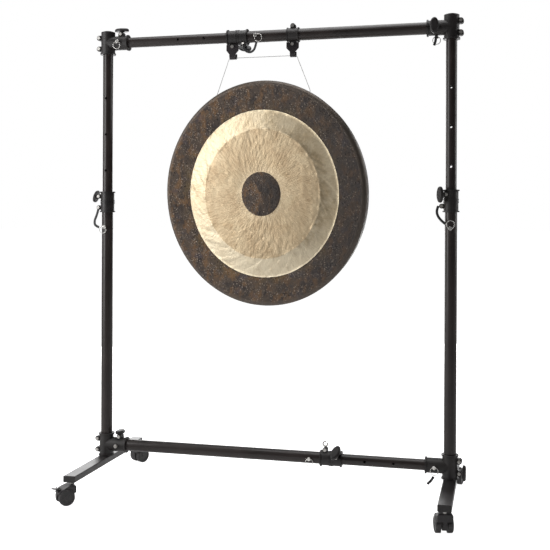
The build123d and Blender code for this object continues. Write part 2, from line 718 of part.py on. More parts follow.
save("lower_left_post", lower_post(-1))
save("lower_right_post", lower_post(1))
save("upper_left_post", upper_post(-1))
save("upper_right_post", upper_post(1))
save("top_bar_thick_tube", bar("top_right", TOP_COLLAR_X + 1, (TOP_PIN_X,)))
save("top_bar_thin_tube", bar("top_left", TOP_THIN_END, TOP_HOLES_X + (TOP_PIN_X,)))
save("bottom_bar_thick_tube", bar("bottom_left", BOTTOM_COLLAR_X - 1, (BOTTOM_PIN_X,)))
save("bottom_bar_thin_tube", bar("bottom_right", BOTTOM_THIN_END, BOTTOM_HOLES_X + (BOTTOM_PIN_X,)))

fasteners = {"lower_left": [], "lower_right": [], "upper_left": [], "upper_right": []}
for name, (body, spin) in TEE_BODIES.items():
    save(f"{name}_tee", tee(name))
    planes = tee_lugs(name)
    for plane in planes:
        fasteners[body] += cross_bolt(plane, LUG_HALF)
    fasteners[body].append(eye_stud(planes[0], TEE_SEAT))
    save(f"{name}_knob", wing_knob(tee_lugs(name, 0)[0], TEE_SEAT, spin))

for name, (body, spin) in COLLAR_BODIES.items():
    save(f"{name}_collar", collar(name))
    planes = collar_lugs(name)
    for plane in planes:
        fasteners[body] += cross_bolt(plane, COLLAR_LUG_HALF)
    fasteners[body].append(eye_stud(planes[0], COLLAR_SEAT))
    save(f"{name}_knob", wing_knob(collar_lugs(name, 0)[0], COLLAR_SEAT, spin))

for name, (origin, ring_way) in COLLAR_PINS.items():
    save(f"{name}_pin", *lock_pin(origin, (0, -1, 0), OUTER_R, OUTER_R - 1.5, ring_way))
for name in ("top_left", "bottom_right"):
    save(f"{name}_pin", *tee_pin(name))
fasteners["lower_left"] += tee_pin("bottom_left")
fasteners["upper_right"] += tee_pin("top_right")

fasteners["lower_left"].append(open_eye())
tether_screw = rod((0, -6.6, 0), (0, -4.05, 0), 3.6) + rod((0, -6, 0), (0, 4, 0), 2.0)
fasteners["upper_right"].append(tether_lug_plane() * tether_screw)
fasteners["upper_right"] += cross_bolt(hanger_clamp_lug(), 9.0)
for x in (LEFT_HANGER_X, RIGHT_HANGER_X):
    fasteners["upper_right"] += hanger_screw(x)
for body, pieces in fasteners.items():
    save(f"{body}_fasteners", *pieces)

save("right_hanger_clamp", hanger_clamp())
save("hanger_hooks", hook(LEFT_HANGER_X, 10.5), hook(RIGHT_HANGER_X, 9.0))

save("gong", gong())
line = bent_tube("hanging_line", LINE_ROUTE, LINE_R, [LINE_BEND_R] * 4)
save("hanging_line", line)
save("line_knots", line_knot(-RIM_HOLE_ANGLE) - line, line_knot(RIM_HOLE_ANGLE) - line)
for name, route in STRAPS.items():
    save(name, bent_tube(name, route, STRAP_R, largest_arcs(route)))

for side, word in ((-1, "left"), (1, "right")):
    save(f"{word}_foot_beam", foot(side))
    save(f"{word}_foot_caps", foot_cap(side, FOOT_FRONT, -1), foot_cap(side, FOOT_REAR, 1))
    save(f"{word}_caster_stems", caster_stem(f"{word}_front"), caster_stem(f"{word}_rear"))
for name in CASTERS:
    save(f"{name}_caster_hood", caster_hood(name))
    save(f"{name}_caster_wheels", *caster_wheels(name))
for name in BRAKED:
    save(f"{name}_caster_brake", brake_lever(name))
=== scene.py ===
"""Looks of the tam tam gong and its wheeled tube stand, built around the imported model. Metres."""

import math

import bmesh
import bpy
from mathutils import Matrix, Vector, noise


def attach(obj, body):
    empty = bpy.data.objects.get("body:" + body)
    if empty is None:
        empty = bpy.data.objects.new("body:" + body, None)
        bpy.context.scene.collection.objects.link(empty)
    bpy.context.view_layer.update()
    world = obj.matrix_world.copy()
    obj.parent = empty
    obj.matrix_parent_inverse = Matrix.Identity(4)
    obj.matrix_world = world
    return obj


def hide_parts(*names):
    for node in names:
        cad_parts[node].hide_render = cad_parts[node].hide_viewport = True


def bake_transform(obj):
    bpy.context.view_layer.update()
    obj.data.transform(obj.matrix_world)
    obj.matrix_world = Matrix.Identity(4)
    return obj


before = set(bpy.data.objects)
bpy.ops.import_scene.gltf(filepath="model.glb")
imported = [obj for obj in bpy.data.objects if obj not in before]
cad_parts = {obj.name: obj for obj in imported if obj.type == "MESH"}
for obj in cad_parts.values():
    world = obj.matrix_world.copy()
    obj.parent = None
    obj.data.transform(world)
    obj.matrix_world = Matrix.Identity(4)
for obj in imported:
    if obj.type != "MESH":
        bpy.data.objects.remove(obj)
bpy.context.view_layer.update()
scene = bpy.context.scene
MM = 0.001


# ---------------------------------------------------------------- camera, light and floor

CAMERA_AT = (0.7236, -2.8477, 0.8672)
CAMERA_YAW = math.radians(14.008)
CAMERA_ROLL = math.radians(0.237)
BRIGHT_SIDE = (-0.97, -0.16, 0.18)


def add_camera():
    """The camera at the photograph's angle."""
    data = bpy.data.cameras.new("camera")
    data.lens = 59.157
    data.sensor_width = 36.0
    data.shift_y = -0.0879
    camera = bpy.data.objects.new("camera", data)
    scene.collection.objects.link(camera)
    forward = Vector((-math.sin(CAMERA_YAW), math.cos(CAMERA_YAW), 0))
    right = Vector((math.cos(CAMERA_YAW), math.sin(CAMERA_YAW), 0))
    up = Vector((0, 0, 1))
    side = right * math.cos(CAMERA_ROLL) + up * math.sin(CAMERA_ROLL)
    top = up * math.cos(CAMERA_ROLL) - right * math.sin(CAMERA_ROLL)
    turn = Matrix((side, top, -forward)).transposed().to_4x4()
    camera.matrix_world = Matrix.Translation(CAMERA_AT) @ turn
    scene.camera = camera


def add_softbox(name, at, towards, size, watts):
    """A rectangular soft light that faces a point."""
    data = bpy.data.lights.new(name, "AREA")
    data.shape = "RECTANGLE"
    data.size, data.size_y = size
    data.energy = watts
    light = bpy.data.objects.new(name, data)
    light.visible_camera = False
    scene.collection.objects.link(light)
    aim = (Vector(towards) - Vector(at)).to_track_quat("-Z", "Y")
    light.matrix_world = Matrix.Translation(at) @ aim.to_matrix().to_4x4()


def add_world():
    """A white backdrop for the camera, and a room that is bright at the left front and dim elsewhere."""
    world = bpy.data.worlds.new("studio")
    scene.world = world
    world.use_nodes = True
    nodes, links = world.node_tree.nodes, world.node_tree.links
    nodes.clear()
    out = nodes.new("ShaderNodeOutputWorld")
    mix = nodes.new("ShaderNodeMixShader")
    path = nodes.new("ShaderNodeLightPath")
    room = nodes.new("ShaderNodeBackground")
    backdrop = nodes.new("ShaderNodeBackground")
    backdrop.inputs["Color"].default_value = (1, 1, 1, 1)
    coords = nodes.new("ShaderNodeTexCoord")
    towards = nodes.new("ShaderNodeVectorMath")
    towards.operation = "DOT_PRODUCT"
    towards.inputs[1].default_value = BRIGHT_SIDE
    ramp = nodes.new("ShaderNodeMapRange")
    for name, value in (("From Min", 0.35), ("From Max", 1.0), ("To Min", 0.09), ("To Max", 0.6)):
        ramp.inputs[name].default_value = value
    links.new(coords.outputs["Generated"], towards.inputs[0])
    links.new(towards.outputs["Value"], ramp.inputs["Value"])
    links.new(ramp.outputs[0], room.inputs["Strength"])
    links.new(path.outputs["Is Camera Ray"], mix.inputs[0])
    links.new(room.outputs[0], mix.inputs[1])
    links.new(backdrop.outputs[0], mix.inputs[2])
    links.new(mix.outputs[0], out.inputs[0])


def add_floor():
    """A plain white floor that runs into the white backdrop, and lights the object less than it shows."""
    bpy.ops.mesh.primitive_plane_add(size=400, location=(0, 0, -0.0005))
    floor = bpy.context.object
    floor.name = "floor"
    mat = bpy.data.materials.new("floor")
    mat.use_nodes = True
    nodes, links = mat.node_tree.nodes, mat.node_tree.links
    shader = nodes["Principled BSDF"]
    shader.inputs["Base Color"].default_value = (0.8, 0.8, 0.8, 1)
    shader.inputs["Roughness"].default_value = 0.9
    shader.inputs["Emission Color"].default_value = (1, 1, 1, 1)
    path = nodes.new("ShaderNodeLightPath")
    glow = nodes.new("ShaderNodeMapRange")
    glow.inputs["To Min"].default_value = 0.12
    glow.inputs["To Max"].default_value = 0.97
    links.new(path.outputs["Is Camera Ray"], glow.inputs["Value"])
    links.new(glow.outputs[0], shader.inputs["Emission Strength"])
    floor.data.materials.append(mat)


# ---------------------------------------------------------------- shader building

class Shader:
    """A Principled material, put together from texture nodes."""

    def __init__(self, name, scale=(1, 1, 1)):
        self.mat = bpy.data.materials.new(name)
        self.mat.use_nodes = True
        self.tree = self.mat.node_tree
        self.body = self.tree.nodes["Principled BSDF"]
        self.place = self.node("ShaderNodeTexCoord").outputs["Object"]
        self.stretched = self.scaled(self.place, scale)

    def node(self, kind, **settings):
        """A new node with these settings."""
        made = self.tree.nodes.new(kind)
        for key, value in settings.items():
            setattr(made, key, value)
        return made

    def feed(self, socket, value):
        """Links a socket, or sets it to a number or colour."""
        if isinstance(value, bpy.types.NodeSocket):
            self.tree.links.new(value, socket)
        elif isinstance(value, (tuple, list)):
            filled = tuple(value) + (1,) * (len(socket.default_value) - len(value))
            socket.default_value = filled
        else:
            socket.default_value = value

    def scaled(self, vector, scale):
        """The place with each axis stretched."""
        made = self.node("ShaderNodeMapping")
        self.feed(made.inputs["Vector"], vector)
        made.inputs["Scale"].default_value = scale
        return made.outputs[0]

    def noise(self, scale, detail=3.0, roughness=0.55, vector=None, distortion=0.0):
        """Cloudy noise from 0 to 1."""
        made = self.node("ShaderNodeTexNoise")
        self.feed(made.inputs["Vector"], vector or self.place)
        made.inputs["Scale"].default_value = scale
        made.inputs["Detail"].default_value = detail
        made.inputs["Roughness"].default_value = roughness
        made.inputs["Distortion"].default_value = distortion
        return made.outputs["Fac"]

    def cells(self, scale, vector=None):
        """The distance to the nearest of many scattered points."""
        made = self.node("ShaderNodeTexVoronoi")
        self.feed(made.inputs["Vector"], vector or self.place)
        made.inputs["Scale"].default_value = scale
        return made.outputs["Distance"]

    def math(self, operation, a, b=0.0, c=0.0):
        """One sum on two or three values."""
        made = self.node("ShaderNodeMath", operation=operation)
        for socket, value in zip(made.inputs, (a, b, c)):
            self.feed(socket, value)
        return made.outputs[0]

    def times(self, a, b):
        return self.math("MULTIPLY", a, b)

    def plus(self, a, b):
        return self.math("ADD", a, b)

    def span(self, value, low, high, to_low=0.0, to_high=1.0):
        """Maps low..high to to_low..to_high, and holds the ends."""
        made = self.node("ShaderNodeMapRange")
        for socket, number in zip(made.inputs, (value, low, high, to_low, to_high)):
            self.feed(socket, number)
        return made.outputs[0]

    def mix(self, factor, a, b):
        """A colour between a and b."""
        made = self.node("ShaderNodeMix", data_type="RGBA")
        self.feed(made.inputs["Factor"], factor)
        self.feed(made.inputs[6], a)
        self.feed(made.inputs[7], b)
        return made.outputs[2]

    def bump(self, height, distance, strength=1.0, after=None):
        """A normal raised by height, on top of another normal if there is one."""
        made = self.node("ShaderNodeBump")
        self.feed(made.inputs["Height"], height)
        made.inputs["Distance"].default_value = distance
        made.inputs["Strength"].default_value = strength
        if after is not None:
            self.feed(made.inputs["Normal"], after)
        return made.outputs[0]

    def finish(self, **inputs):
        """Feeds the Principled shader's inputs, named with _ for spaces, and returns the material."""
        for key, value in inputs.items():
            self.feed(self.body.inputs[key.replace("_", " ")], value)
        return self.mat


def shade(colour, factor):
    """The colour made lighter or darker."""
    return tuple(channel * factor for channel in colour)


# ---------------------------------------------------------------- materials

def powder_coat(name, colour, along):
    """Satin powder coat on a tube: orange peel, faint clouding, and rub marks along the tube."""
    stretch = [60.0, 60.0, 60.0]
    stretch["XYZ".index(along)] = 4.0
    s = Shader(name, stretch)
    clouds = s.noise(9.0, 4.0)
    rubs = s.span(s.noise(3.0, 5.0, 0.65, s.stretched), 0.58, 0.75)
    peel = s.noise(520.0, 2.0)
    tone = s.mix(s.span(clouds, 0.35, 0.7), shade(colour, 0.8), shade(colour, 1.35))
    dust = s.span(s.noise(240.0, 2.0), 0.68, 0.8)
    rubbed = s.mix(s.times(rubs, 0.35), tone, shade(colour, 2.6))
    base = s.mix(s.times(dust, 0.25), rubbed, (0.2, 0.19, 0.18))
    rough = s.plus(s.span(clouds, 0.3, 0.7, 0.3, 0.4), s.times(rubs, -0.06))
    return s.finish(Base_Color=base, Roughness=rough, Normal=s.bump(peel, 0.00012, 0.5))


def moulded(name, colour, grain=700.0, rough=0.46):
    """Moulded black nylon: spark-eroded grain, flow clouds and polished high spots."""
    s = Shader(name)
    clouds = s.noise(22.0, 4.0)
    base = s.mix(s.span(clouds, 0.35, 0.68), shade(colour, 0.75), shade(colour, 1.45))
    scuffs = s.span(s.noise(70.0, 6.0, 0.7), 0.6, 0.72)
    base = s.mix(s.times(scuffs, 0.18), base, (0.16, 0.15, 0.15))
    roughness = s.plus(s.span(clouds, 0.3, 0.7, rough - 0.06, rough + 0.08), s.times(scuffs, 0.08))
    return s.finish(Base_Color=base, Roughness=roughness, Normal=s.bump(s.cells(grain), 0.00018, 0.55))


def bare_metal(name, colour, rough, tarnish):
    """Plated steel: fine turning marks, cloudy tarnish and small scratches."""
    s = Shader(name, (900.0, 60.0, 900.0))
    clouds = s.noise(90.0, 4.0)
    marks = s.noise(1.0, 2.0, 0.5, s.stretched)
    base = s.mix(s.span(clouds, 0.42, 0.72), colour, tarnish)
    roughness = s.plus(s.span(clouds, 0.3, 0.7, rough - 0.05, rough + 0.12), s.times(marks, 0.06))
    return s.finish(Base_Color=base, Metallic=1.0, Roughness=roughness, Normal=s.bump(marks, 0.00005, 0.6))


def rubber(name, colour):
    """Soft black rubber with a dusty bloom."""
    s = Shader(name)
    bloom = s.noise(110.0, 5.0, 0.65)
    base = s.mix(s.span(bloom, 0.42, 0.7), colour, shade(colour, 2.6))
    roughness = s.span(bloom, 0.3, 0.7, 0.42, 0.6)
    return s.finish(Base_Color=base, Roughness=roughness, Normal=s.bump(s.noise(900.0), 0.0001, 0.5))


def nylon_cord(name):
    """Pale translucent nylon cord, with the slight yellowing of each strand."""
    s = Shader(name)
    tone = s.noise(160.0, 4.0)
    base = s.mix(s.span(tone, 0.35, 0.7), (0.6, 0.6, 0.59), (0.46, 0.455, 0.44))
    fibres = s.bump(s.noise(2600.0, 2.0), 0.00006, 0.6)
    return s.finish(Base_Color=base, Roughness=s.span(tone, 0.3, 0.7, 0.35, 0.5), Normal=fibres)


def caster_wheel(name):
    """Hard black wheel: dusty tread that picks up floor dirt."""
    s = Shader(name)
    dirt = s.span(s.noise(150.0, 6.0, 0.7), 0.45, 0.7)
    base = s.mix(s.times(dirt, 0.35), (0.03, 0.028, 0.029), (0.14, 0.13, 0.12))
    roughness = s.span(dirt, 0.0, 1.0, 0.38, 0.6)
    return s.finish(Base_Color=base, Roughness=roughness, Normal=s.bump(s.noise(700.0), 0.0001, 0.5))


# Outer radii of the gong's zones: dark centre, inner gold, outer gold, and the dark ring up to its shoulder.
DARK_R = 72 * MM
INNER_R = 212 * MM
GOLD_R = 273 * MM
SHOULDER_AT = 353 * MM


def gong_bronze(name):
    """Beaten bronze: a dark oxide rim and centre, and a scraped gold ring in two zones."""
    s = Shader(name)
    flat = s.scaled(s.place, (1, 1, 0))
    length = s.node("ShaderNodeVectorMath", operation="LENGTH")
    s.feed(length.inputs[0], flat)
    radius = length.outputs["Value"]
    unit = s.node("ShaderNodeVectorMath", operation="NORMALIZE")
    s.feed(unit.inputs[0], flat)
    parts = s.node("ShaderNodeSeparateXYZ")
    s.feed(parts.inputs[0], unit.outputs[0])
    rightward, upward = parts.outputs[0], parts.outputs[1]

    def polar(around, outward):
        """Seamless polar place: noise read from it is drawn out along the radius."""
        joined = s.node("ShaderNodeCombineXYZ")
        s.feed(joined.inputs[0], s.times(rightward, around))
        s.feed(joined.inputs[1], s.times(upward, around))
        s.feed(joined.inputs[2], s.times(radius, outward))
        return joined.outputs[0]

    # Edges of the zones, each a little uneven.
    wander = s.math("MULTIPLY_ADD", s.noise(38.0, 3.0), 0.008, -0.004)
    nick = s.math("MULTIPLY_ADD", s.noise(300.0, 2.0), 0.0016, -0.0008)
    r_gold = s.plus(radius, nick)
    r_zone = s.plus(s.plus(radius, wander), s.times(nick, 2.0))
    outside = s.span(r_gold, GOLD_R - 0.0006, GOLD_R + 0.0006)
    centre = s.span(r_gold, DARK_R - 0.0007, DARK_R + 0.0007, 1.0, 0.0)
    annulus = s.span(r_zone, INNER_R - 0.0025, INNER_R + 0.0025)
    dark = s.math("MAXIMUM", outside, centre)

    # Scraped bronze, with a painted highlight on the lower ring and along the gold edge, and painted shade
    # on the ring's inner edge at the right.
    strokes = s.noise(1.0, 4.0, 0.6, polar(34.0, 46.0), 0.35)
    fine = s.noise(1.0, 3.0, 0.6, polar(120.0, 130.0), 0.2)
    blush = s.noise(14.0, 4.0, 0.6)
    zone_tone = s.mix(s.span(blush, 0.35, 0.68), (0.36, 0.265, 0.16), (0.46, 0.365, 0.235))
    ring_tone = s.mix(s.span(blush, 0.3, 0.7), (0.5, 0.395, 0.25), (0.6, 0.51, 0.36))
    # Painted highlight: the gold ring is painted lighter towards its bottom.
    ring_tone = s.mix(s.span(upward, -0.95, -0.2, 0.5, 0.0), ring_tone, (0.8, 0.71, 0.54))
    gold = s.mix(annulus, zone_tone, ring_tone)
    gold = s.mix(s.span(strokes, 0.52, 0.72, 0.0, 0.3), gold, (0.2, 0.13, 0.06))
    gold = s.mix(s.span(fine, 0.3, 0.46, 0.2, 0.0), gold, (0.8, 0.7, 0.5))
    scorch = s.times(s.span(s.noise(24.0, 5.0, 0.65), 0.56, 0.72), 0.3)
    gold = s.mix(scorch, gold, (0.24, 0.15, 0.06))
    # Painted highlight: a thin pale line just inside the gold edge, all round.
    edge_highlight_in = s.span(r_gold, GOLD_R - 0.0036, GOLD_R - 0.0022)
    painted_edge_highlight = s.times(edge_highlight_in, s.span(r_gold, GOLD_R - 0.0004, GOLD_R + 0.0002, 1.0, 0.0))
    gold = s.mix(s.times(painted_edge_highlight, 0.35), gold, (0.8, 0.7, 0.5))
    # Painted shade: the gold ring's inner edge is darkened on the right side, in patches.
    painted_ridge_shade = s.times(s.span(r_zone, INNER_R, INNER_R + 0.05, 1.0, 0.0), s.span(rightward, 0.2, 0.8))
    painted_ridge_shade = s.times(s.times(painted_ridge_shade, annulus), s.span(s.noise(46.0, 3.0), 0.36, 0.6))
    gold = s.mix(s.times(painted_ridge_shade, 0.6), gold, (0.17, 0.11, 0.05))
    scuffed = s.times(s.span(radius, DARK_R, DARK_R + 0.03, 1.0, 0.0), s.span(fine, 0.52, 0.66))
    gold = s.mix(s.times(scuffed, 0.6), gold, (0.86, 0.78, 0.6))

    # Oxide, with painted shade towards the right side and painted highlights on specks and flecks towards
    # the left.
    cloud = s.noise(19.0, 5.0, 0.62)
    rust = s.noise(31.0, 5.0, 0.66, s.scaled(s.place, (1.3, 0.8, 1.0)))
    violet = s.noise(27.0, 3.0, 0.5, s.scaled(s.place, (0.7, 1.2, 1.0)))
    oxide = s.mix(s.span(cloud, 0.36, 0.66), (0.018, 0.012, 0.01), (0.075, 0.052, 0.036))
    oxide = s.mix(s.span(rust, 0.48, 0.62, 0.0, 0.8), oxide, (0.12, 0.062, 0.024))
    oxide = s.mix(s.span(violet, 0.56, 0.7, 0.0, 0.5), oxide, (0.042, 0.034, 0.045))
    haze = s.span(radius, GOLD_R, GOLD_R + 0.034, 0.6, 0.0)
    haze = s.times(s.times(haze, s.span(s.noise(16.0, 3.0), 0.45, 0.66)), outside)
    oxide = s.mix(haze, oxide, (0.15, 0.095, 0.03))
    # Painted shade: the oxide is darkened towards the right side.
    shaded = s.span(rightward, -0.3, 0.9)
    oxide = s.mix(s.times(shaded, 0.72), oxide, (0.011, 0.008, 0.007))
    # Painted highlights: pale specks and flecks, in patches that thin out towards the right, stand in for
    # light caught by small bumps; the specks also raise the bump below.
    highlight_patches = s.span(s.noise(34.0, 4.0, 0.6), 0.42, 0.56)
    highlight_patches = s.times(highlight_patches, s.span(shaded, 0.0, 1.0, 1.0, 0.3))
    spots = s.times(s.span(s.cells(112.0), 0.18, 0.34, 1.0, 0.0), highlight_patches)
    oxide = s.mix(s.times(spots, 0.8), oxide, (0.27, 0.215, 0.17))
    painted_fleck_highlights = s.times(s.span(s.cells(205.0), 0.14, 0.26, 1.0, 0.0), highlight_patches)
    oxide = s.mix(s.times(painted_fleck_highlights, 0.6), oxide, (0.4, 0.34, 0.27))
    pit_cells = s.cells(96.0, s.scaled(s.place, (1.0, 1.1, 0.9)))
    pits = s.times(s.span(pit_cells, 0.1, 0.24, 1.0, 0.0), s.span(s.noise(21.0, 3.0), 0.44, 0.56))
    oxide = s.mix(s.times(pits, 0.85), oxide, (0.006, 0.005, 0.005))
    # Painted shade: a thin dark line just outside the gold edge, all round.
    groove_shade = s.times(outside, s.span(radius, GOLD_R + 0.0008, GOLD_R + 0.0042, 0.75, 0.0))
    oxide = s.mix(groove_shade, oxide, (0.012, 0.008, 0.006))
    worn = s.span(radius, SHOULDER_AT - 0.003, SHOULDER_AT + 0.006)
    oxide = s.mix(s.times(worn, 0.6), oxide, (0.15, 0.125, 0.105))

    colour = s.mix(dark, gold, oxide)
    bare = s.math("SUBTRACT", 1.0, dark)
    metal = s.span(dark, 0.0, 1.0, 0.78, 0.55)
    rough_gold = s.times(bare, s.span(strokes, 0.3, 0.7, 0.36, 0.46))
    rough = s.plus(rough_gold, s.times(dark, s.span(cloud, 0.3, 0.7, 0.34, 0.5)))
    relief_gold = s.plus(strokes, s.times(fine, 0.35))
    crust = s.math("SUBTRACT", s.times(spots, 0.8), pits)
    crust = s.plus(crust, s.times(s.noise(150.0, 4.0, 0.65), 1.1))
    normal = s.bump(s.times(relief_gold, bare), 0.0009, 0.75)
    normal = s.bump(s.times(crust, dark), 0.0011, 0.8, normal)
    return s.finish(Base_Color=colour, Metallic=metal, Roughness=rough, Normal=normal)


# ---------------------------------------------------------------- gong

GONG_R = 367 * MM
GONG_T = 2.2 * MM
SHOULDER_R = 13 * MM
RIM_DEPTH = 46 * MM
RIM_TAPER = 7 * MM
GONG_TURN = math.radians(-13.0)
GONG_TILT = math.radians(3.3)
GONG_CENTRE = Vector((-34.6, -11.1, 973.0)) * MM
FLAT_R = GONG_R - SHOULDER_R
FACE_RINGS = 122
SHOULDER_RINGS = 6
RIM_RINGS = 8
SPOKES = 448
RIM_HOLE_ANGLE = math.radians(28.2)
RIM_HOLE_DEPTH = 30 * MM
RIM_HOLE_R = 2.6 * MM


def gong_matrix():
    """Places the gong's own frame: Z out of its face, Y up it."""
    level = math.cos(GONG_TILT)
    out = Vector((level * math.sin(GONG_TURN), -level * math.cos(GONG_TURN), -math.sin(GONG_TILT)))
    side = Vector((math.cos(GONG_TURN), math.sin(GONG_TURN), 0))
    turn = Matrix((side, out.cross(side), out)).transposed().to_4x4()
    return Matrix.Translation(GONG_CENTRE) @ turn


# The smooth face from its middle out: radius, and height against the shoulder's top, in millimetres.
FACE_PROFILE = (
    (0, -5.6),
    (68, -5.6),
    (76, -6.0),
    (200, -4.2),
    (214, -4.6),
    (267, -11.0),
    (275, -10.6),
    (353, -0.4),
)


def face_depth(radius):
    """How far the smooth face lies behind the shoulder, by radius."""
    r = radius / MM
    for (r0, h0), (r1, h1) in zip(FACE_PROFILE, FACE_PROFILE[1:]):
        if r <= r1:
            return (h0 + (h1 - h0) * (r - r0) / (r1 - r0)) * MM
    return FACE_PROFILE[-1][1] * MM


def on_circle(angle, size, height=0.0):
    """A place on a circle of this size, where noise is read so that it closes round the gong."""
    return Vector((math.cos(angle) * size, math.sin(angle) * size, height))


def beaten(x, y, radius, angle):
    """Relief of the beaten face: broad warps, hammer marks and scraped ripples, by zone."""
    point = Vector((x, y, 0))
    warp = noise.noise(point * 7) * 1.0 + noise.noise(point * 16 + Vector((3, 1, 7))) * 0.45
    marks = noise.noise(point * 62 + Vector((9, 4, 2))) * 0.16
    polar = on_circle(angle + (radius - INNER_R) * 5, 16, radius * 22)
    ripple = noise.noise(polar) * 0.55 + noise.noise(polar * 2.3) * 0.22
    vertical = abs(math.sin(angle)) ** 3
    ridge = math.exp(-(((radius - INNER_R) / (5 * MM)) ** 2))
    lumps = ridge * (0.35 + 0.75 * noise.noise(on_circle(angle, 11, 5)))
    if radius > GOLD_R:
        dents = noise.noise(point * 105) * 0.2 + noise.noise(point * 215) * 0.13
        fade = 1 - min(1, max(0, (radius - 330 * MM) / (20 * MM)))
        return (warp * 0.7 + marks + dents) * (0.3 + 0.7 * fade) * MM
    if radius > INNER_R:
        return (warp + ripple * 1.1 + lumps) * MM
    if radius > DARK_R:
        fan = noise.noise(on_circle(angle, 24, radius * 34)) * 0.35 * vertical
        return (warp * 0.8 + marks * 1.8 + ripple * (0.2 + 0.6 * vertical) + fan + lumps * 1.4) * MM
    return (warp * 0.6 + marks * 2.2) * MM


def gong_rings():
    """The rings of the front, from the middle out: radius, depth and how strongly it is beaten."""
    rings = []
    for i in range(1, FACE_RINGS + 1):
        radius = FLAT_R * i / FACE_RINGS
        rings.append((radius, face_depth(radius), 1.0))
    for i in range(1, SHOULDER_RINGS + 1):
        turn = math.radians(90) * i / SHOULDER_RINGS
        radius = FLAT_R + SHOULDER_R * math.sin(turn)
        rings.append((radius, SHOULDER_R * math.cos(turn) - SHOULDER_R, 1.0 - i / (SHOULDER_RINGS + 1)))
    for i in range(1, RIM_RINGS + 1):
        share = i / RIM_RINGS
        depth = -SHOULDER_R - (RIM_DEPTH - SHOULDER_R) * share
        rings.append((GONG_R - RIM_TAPER * share, depth, 0.0))
    return rings


def gong_point(ring, angle):
    """A point of the front at a ring and angle, with the beaten relief and a slightly uneven rim."""
    radius, depth, beat = ring
    x, y = radius * math.cos(angle), radius * math.sin(angle)
    if radius > FLAT_R:
        wobble = 0.35 * MM * noise.noise(on_circle(angle, 3, depth * 40))
        x += (wobble - 0.45 * MM) * math.cos(angle)
        y += (wobble - 0.45 * MM) * math.sin(angle)
    if beat:
        lift = beaten(radius * math.cos(angle), radius * math.sin(angle), radius, angle) * beat
        depth += min(lift, -depth * 0.9 + 0.1 * MM)
    return Vector((x, y, depth))


def inward(ring):
    """How far the inside lies in from the front at a ring: across, and back."""
    radius, depth, _ = ring
    if radius > FLAT_R and depth > -SHOULDER_R:
        bend = math.asin(min(1.0, (radius - FLAT_R) / SHOULDER_R))
        return GONG_T * math.sin(bend), GONG_T * math.cos(bend)
    if radius > FLAT_R:
        return GONG_T, 0.0
    return 0.0, GONG_T


def make_gong():
    """The gong: one beaten sheet with a front, a turned back rim, a back and a rounded rim edge."""
    around = [2 * math.pi * k / SPOKES for k in range(SPOKES)]
    work = bmesh.new()
    outer = []
    inner = []
    for ring in gong_rings():
        shrink, drop = inward(ring)
        spots = [gong_point(ring, angle) for angle in around]
        outer.append([work.verts.new(spot) for spot in spots])
        backs = [spot - on_circle(angle, shrink, drop) for spot, angle in zip(spots, around)]
        inner.append([work.verts.new(spot) for spot in backs])
    loops = outer + inner[::-1]
    for low, high in zip(loops, loops[1:]):
        for k in range(SPOKES):
            n = (k + 1) % SPOKES
            work.faces.new((low[k], high[k], high[n], low[n]))
    for loop, flip in ((loops[0], False), (loops[-1], True)):
        depth = sum(v.co.z for v in loop) / SPOKES
        hub = work.verts.new((0, 0, depth))
        for k in range(SPOKES):
            corners = (hub, loop[k], loop[(k + 1) % SPOKES])
            work.faces.new(corners[::-1] if flip else corners)
    bmesh.ops.recalc_face_normals(work, faces=work.faces)
    mesh = bpy.data.meshes.new("bronze_gong")
    work.to_mesh(mesh)
    work.free()
    gong = new_object("bronze_gong", mesh, gong_bronze("gong_bronze"))
    gong.matrix_world = gong_matrix()
    cut_rim_holes(gong)
    smooth(gong, 50)
    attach(gong, "gong")
    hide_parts("gong")


def cut_rim_holes(gong):
    """Drills the two holes for the line through the rim."""
    half = 15 * MM
    for side in (-1, 1):
        way = Vector((side * math.sin(RIM_HOLE_ANGLE), math.cos(RIM_HOLE_ANGLE), 0))
        middle = gong_matrix() @ (way * (GONG_R - 5 * MM) + Vector((0, 0, -RIM_HOLE_DEPTH)))
        aim = (gong_matrix().to_3x3() @ way).to_track_quat("Z", "Y")
        drill = lathe("drill", [(0, -half), (RIM_HOLE_R, -half), (RIM_HOLE_R, half), (0, half)], 24)
        drill.matrix_world = Matrix.Translation(middle) @ aim.to_matrix().to_4x4()
        bpy.context.view_layer.update()
        cutter = gong.modifiers.new("hole", "BOOLEAN")
        cutter.operation = "DIFFERENCE"
        cutter.solver = "EXACT"
        cutter.object = drill
        apply_modifiers(gong)
        bpy.data.objects.remove(drill)


# ---------------------------------------------------------------- mesh helpers

def new_object(name, mesh, mat=None):
    """An object in the scene for a mesh, with its material."""
    made = bpy.data.objects.new(name, mesh)
    scene.collection.objects.link(made)
    if mat:
        mesh.materials.append(mat)
    return made


def smooth(obj, degrees):
    """Smooth shading, with edges sharper than this kept crisp."""
    for polygon in obj.data.polygons:
        polygon.use_smooth = True
    obj.data.set_sharp_from_angle(angle=math.radians(degrees))


def apply_modifiers(obj):
    """Bakes the modifiers into the mesh."""
    bpy.context.view_layer.update()
    graph = bpy.context.evaluated_depsgraph_get()
    result = bpy.data.meshes.new_from_object(obj.evaluated_get(graph), depsgraph=graph)
    obj.modifiers.clear()
    old = obj.data
    obj.data = result
    bpy.data.meshes.remove(old)


